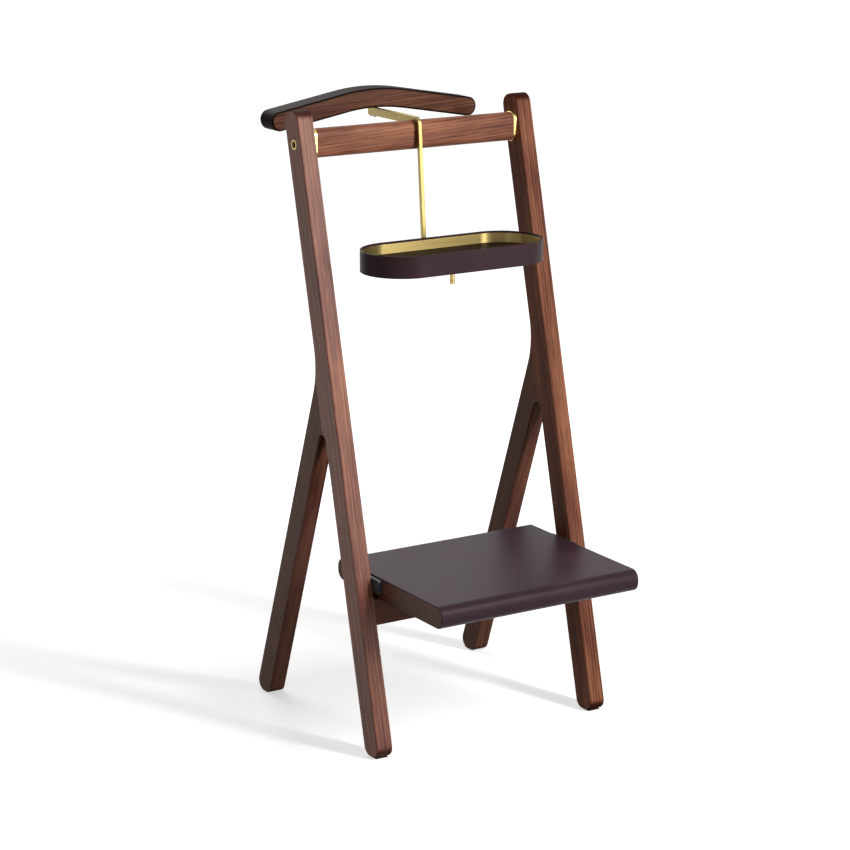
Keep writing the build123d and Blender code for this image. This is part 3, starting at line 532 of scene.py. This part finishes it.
class VALET_OT_crossbar(bpy.types.Operator):
    """Finishes the crossbar and lower rail in walnut, and the collars and bolt cups in brass"""

    bl_idname = "valet.crossbar"
    bl_label = "Crossbar and rail"

    def execute(self, context):
        level, line = level_grain(), sizes().brush_line
        finish_nodes(walnut("Oiled walnut, crossbar", level, tone=1.23, shine=0.15, warmth=1.1), "crossbar")
        # Painted shade: the lower rail's low tone darkens it as if it lay in the shelf's shadow
        finish_nodes(walnut("Oiled walnut, lower rail", level, tone=0.5, shine=0.12), "lower_rail")
        # Painted highlight: the turned brass gets a tone of 1.5, brighter than all other brass, so collars and bolt
        # cups look highlighted
        turned = satin_brass("Satin brass, turned", (line, line, line), roughness=0.3, tone=1.5, brushed=0.0)
        finish_nodes(turned, "left_collar", "right_collar", "bolt_ferrules")
        return {"FINISHED"}


class VALET_OT_hanger(bpy.types.Operator):
    """Finishes the hanger in walnut with its leather band"""

    bl_idname = "valet.hanger"
    bl_label = "Hanger"

    def execute(self, context):
        body = walnut("Oiled walnut, hanger", level_grain(), tone=0.6, shine=0.15, warmth=1.15)
        finish_nodes(body, "hanger_body")
        band = waxed_leather("Waxed leather, hanger", colours().band_leather, roughness=0.5, shine=0.015)
        finish_nodes(band, "hanger_band")
        return {"FINISHED"}


class VALET_OT_bar(bpy.types.Operator):
    """Finishes the bar that carries hanger and tray in satin brass"""

    bl_idname = "valet.bar"
    bl_label = "Brass bar"

    def execute(self, context):
        strokes = (sizes().brush_line, sizes().bar_stroke, sizes().bar_stroke)
        # Painted shade: the bar's tone of 0.72 makes its brass darker than the tray wall's, as its shaded sides
        # look
        bar = satin_brass("Satin brass, plate bar", strokes, roughness=0.34, tone=0.72, brushed=0.0)
        finish_nodes(bar, "valet_bar")
        return {"FINISHED"}


class VALET_OT_tray(bpy.types.Operator):
    """Finishes the tray: leather outside and on its floor, brass inside"""

    bl_idname = "valet.tray"
    bl_label = "Tray"

    def execute(self, context):
        line, stroke, tint = sizes().brush_line, sizes().wall_stroke, colours()
        band = waxed_leather("Waxed leather, tray", tint.tray_leather, roughness=0.45, shine=0.1)
        finish_nodes(band, "tray_band")
        liner = waxed_leather("Waxed leather, tray floor", tint.liner_leather, roughness=0.42, shine=0.005)
        finish_nodes(liner, "tray_liner")
        round_wall = (stroke, stroke, line)
        wall = satin_brass("Satin brass, tray wall", round_wall, roughness=0.35, tone=0.88, brushed=0.87)
        finish_nodes(wall, "tray_pan")
        pivot = satin_brass("Satin brass, pivot", (line, line, line), roughness=0.3, tone=1.0, brushed=0.0)
        finish_nodes(pivot, "pivot_pin", "pivot_nut", "pivot_cap")
        base = walnut("Oiled walnut, tray base", (0, -QUARTER_TURN, 0), tone=0.8, shine=0.15)
        finish_nodes(base, "tray_base")
        return {"FINISHED"}


class VALET_OT_shelf(bpy.types.Operator):
    """Finishes the shelf: leather round a walnut board, steel plates at its sides"""

    bl_idname = "valet.shelf"
    bl_label = "Shelf"

    def execute(self, context):
        tint = colours()
        wrap = waxed_leather("Waxed leather, shelf", tint.leather, roughness=0.4, shine=0.12)
        finish_nodes(wrap, "shelf_leather")
        board = walnut("Oiled walnut, shelf", (QUARTER_TURN, 0, 0), tone=0.55, shine=0.15)
        finish_nodes(board, "shelf_core")
        # Powder-coated steel: an even, half-matt skin that hides the metal
        plate = plain("Powder-coated steel", tint.plate, roughness=0.45, metallic=0.0, grit=1.5 * MM)
        finish_nodes(plate, "left_shelf_plate", "right_shelf_plate")
        return {"FINISHED"}


# Nodes of plain screws that get crossed heads, and the bodies that carry them
SCREWED = (("hanger_screws", "frame"), ("bar_screws", "frame"), ("shelf_screws", "frame"), ("pivot_screws", "tray"))


class VALET_OT_fasteners(bpy.types.Operator):
    """Sets cross-head screws in the places of the plain ones, and finishes bolts and inserts in steel"""

    bl_idname = "valet.fasteners"
    bl_label = "Fasteners"

    def execute(self, context):
        tint = colours()
        # Plated steel: bright, with faint clouds in the zinc
        steel = plain("Plated steel", tint.steel, roughness=0.35, metallic=1.0, grit=2 * MM)
        finish_nodes(steel, "crossbar_inserts", "plate_screws")
        # Blackened steel: dark metal with a soft shine
        black = plain("Blackened steel", tint.black_steel, roughness=0.5, metallic=1.0, grit=2 * MM)
        finish_nodes(black, "crossbar_bolts")
        tree = screw_tree()
        for node, body in SCREWED:
            screws = self.set_screws(context, tree, node, steel)
            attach(screws, body)
            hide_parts(node)
        return {"FINISHED"}

    def set_screws(self, context, tree, node, steel):
        """Returns one piece with a cross-head screw in the place of each solid of the node; all are alike."""
        size = sizes()
        places = [screw_place(points) for points in solids_of(node)]
        if not places:
            raise RuntimeError(f"{node} holds no screw")
        heads, tips, reaches = zip(*places)
        name = f"{node}_cross_heads"
        mesh = bpy.data.meshes.new(name)
        mesh.from_pydata(heads, [], [])
        for item, tip in zip(mesh.attributes.new("tip", "FLOAT_VECTOR", "POINT").data, tips):
            item.vector = tip
        piece = bpy.data.objects.new(name, mesh)
        context.scene.collection.objects.link(piece)
        modifier = piece.modifiers.new("Screws", "NODES")
        modifier.node_group = tree
        values = {
            "Head": size.screw_head, "Head height": size.screw_head_height, "Shank": size.screw_shank,
            "Length": reaches[0], "Cross length": size.cross_length, "Cross width": size.cross_width,
            "Cross depth": size.cross_depth, "Material": steel,
        }
        for socket in tree.interface.items_tree:
            if socket.in_out == "INPUT" and socket.name in values:
                modifier[socket.identifier] = values[socket.name]
        solid = bpy.data.meshes.new_from_object(piece.evaluated_get(context.evaluated_depsgraph_get()))
        piece.modifiers.clear()
        piece.data = solid
        return piece


# The camera: the point it aims at, in metres, and its lens and sensor width in millimetres
AIM = Vector((-0.0874, -0.0568, 0.5624))
LENS = 111.91
SENSOR = 36

# The floor: half its side, its own light near the stand, and the distances between which that grows to white
FLOOR_REACH = 12.0
FLOOR_LIFT = 0.55
FLOOR_FADE = (0.9, 1.8)
FLOOR_ROUGHNESS = 0.9
FLOOR_SHINE = 0.1

# Faint light from all round, and the rays that see floor and background in white
ROOM_LIGHT = 0.06
SHOWN_RAYS = ("Is Camera Ray", "Is Glossy Ray", "Is Transmission Ray")

# Lamps, aimed at the camera's point: name, place and sides in metres, power in watts
LAMPS = (
    ("Key softbox", (1.05, -2.35, 2.1), (0.32, 1.7), 72),
    ("Low softbox", (1.4, -2.5, 0.65), (0.8, 0.8), 12),
    ("Left reflector", (-0.95, -0.75, 1.15), (0.2, 1.0), 0.7),
    ("Back softbox", (0.0, 2.5, 2.3), (2.2, 1.2), 34),
)


def shown(tree):
    """Returns a socket that is 1 for the rays that see floor and background in white, and 0 for all others."""
    path = add(tree, "ShaderNodeLightPath").outputs
    seen = path[SHOWN_RAYS[0]]
    for ray in SHOWN_RAYS[1:]:
        seen = add(tree, "ShaderNodeMath", {0: seen, 1: path[ray]}, operation="MAXIMUM").outputs[0]
    return seen


class VALET_OT_stage(bpy.types.Operator):
    """Sets the stand on a pale floor under soft studio light, with the camera of the photograph"""

    bl_idname = "valet.stage"
    bl_label = "Stage"

    def execute(self, context):
        scene = context.scene
        scene.view_settings.view_transform = "Standard"
        self.lay_floor(scene)
        self.light_world(scene)
        for lamp in LAMPS:
            self.place_lamp(scene, *lamp)
        self.place_camera(scene)
        return {"FINISHED"}

    def lay_floor(self, scene):
        """Lays a floor that keeps the stand's shadow and fades into the white background."""
        mesh = bpy.data.meshes.new("Studio floor")
        reach = FLOOR_REACH
        corners = [(-reach, -reach, 0), (reach, -reach, 0), (reach, reach, 0), (-reach, reach, 0)]
        mesh.from_pydata(corners, [], [(0, 1, 2, 3)])
        floor = bpy.data.objects.new("Studio floor", mesh)
        scene.collection.objects.link(floor)
        tree, shader, material = new_material("Pale studio floor")
        shader.inputs["Roughness"].default_value = FLOOR_ROUGHNESS
        shader.inputs["Specular IOR Level"].default_value = FLOOR_SHINE
        shader.inputs["Emission Color"].default_value = WHITE
        seen = shown(tree)
        tone = add(
            tree, "ShaderNodeMix",
            {"Factor": seen, "A": rgba(colours().floor_bounce), "B": rgba(colours().floor)}, data_type="RGBA"
        ).outputs["Result"]
        tree.links.new(tone, shader.inputs["Base Color"])
        place = add(tree, "ShaderNodeTexCoord").outputs["Object"]
        distance = add(tree, "ShaderNodeVectorMath", {0: place}, operation="LENGTH").outputs["Value"]
        fade = add(
            tree, "ShaderNodeMapRange",
            {
                "Value": distance, "From Min": FLOOR_FADE[0], "From Max": FLOOR_FADE[1],
                "To Min": FLOOR_LIFT, "To Max": 1.0,
            },
            interpolation_type="SMOOTHSTEP"
        ).outputs["Result"]
        lift = add(tree, "ShaderNodeMath", {0: seen, 1: fade}, operation="MULTIPLY").outputs[0]
        tree.links.new(lift, shader.inputs["Emission Strength"])
        mesh.materials.append(material)

    def light_world(self, scene):
        """Makes the background white where it is seen, and a faint light elsewhere."""
        world = bpy.data.worlds.new("Studio")
        scene.world = world
        world.use_nodes = True
        tree = world.node_tree
        shade = tree.nodes["Background"]
        shade.inputs["Color"].default_value = WHITE
        level = add(
            tree, "ShaderNodeMapRange", {"Value": shown(tree), "To Min": ROOM_LIGHT, "To Max": 1.0}
        ).outputs["Result"]
        tree.links.new(level, shade.inputs["Strength"])

    def place_lamp(self, scene, name, place, sides, power):
        """Places one softbox, out of the camera's sight."""
        lamp = bpy.data.lights.new(name, "AREA")
        lamp.shape = "RECTANGLE"
        lamp.size, lamp.size_y = sides
        lamp.energy = power
        piece = bpy.data.objects.new(name, lamp)
        piece.location = place
        piece.visible_camera = False
        piece.rotation_euler = (AIM - Vector(place)).to_track_quat("-Z", "Y").to_euler()
        scene.collection.objects.link(piece)

    def place_camera(self, scene):
        """Places the camera and makes it the scene's own."""
        size = sizes()
        turn, rise = size.camera_azimuth, size.camera_elevation
        back = Vector((math.sin(turn) * math.cos(rise), -math.cos(turn) * math.cos(rise), math.sin(rise)))
        camera = bpy.data.cameras.new("Camera")
        camera.lens = LENS
        camera.sensor_width = SENSOR
        piece = bpy.data.objects.new("Camera", camera)
        piece.location = AIM + back * size.camera_distance
        piece.rotation_euler = (-back).to_track_quat("-Z", "Y").to_euler()
        scene.collection.objects.link(piece)
        scene.camera = piece


PIECES = (
    VALET_OT_side_frames,
    VALET_OT_crossbar,
    VALET_OT_hanger,
    VALET_OT_bar,
    VALET_OT_tray,
    VALET_OT_shelf,
    VALET_OT_fasteners,
    VALET_OT_stage,
)


class VALET_PT_panel(bpy.types.Panel):
    """Lists the steps that finish the stand"""

    bl_idname = "VALET_PT_panel"
    bl_label = "Valet stand"
    bl_space_type = "VIEW_3D"
    bl_region_type = "UI"
    bl_category = "Valet"

    def draw(self, context):
        for piece in PIECES:
            self.layout.operator(piece.bl_idname)


CLASSES = (ValetColours, ValetSizes, *PIECES, VALET_PT_panel)


def register():
    for cls in CLASSES:
        bpy.utils.register_class(cls)
    bpy.types.Scene.valet_colours = PointerProperty(type=ValetColours)
    bpy.types.Scene.valet_sizes = PointerProperty(type=ValetSizes)


def unregister():
    del bpy.types.Scene.valet_sizes
    del bpy.types.Scene.valet_colours
    for cls in reversed(CLASSES):
        bpy.utils.unregister_class(cls)


def main():
    register()
    for piece in PIECES:
        group, name = piece.bl_idname.split(".")
        getattr(getattr(bpy.ops, group), name)()


if __name__ == "__main__":
    main()
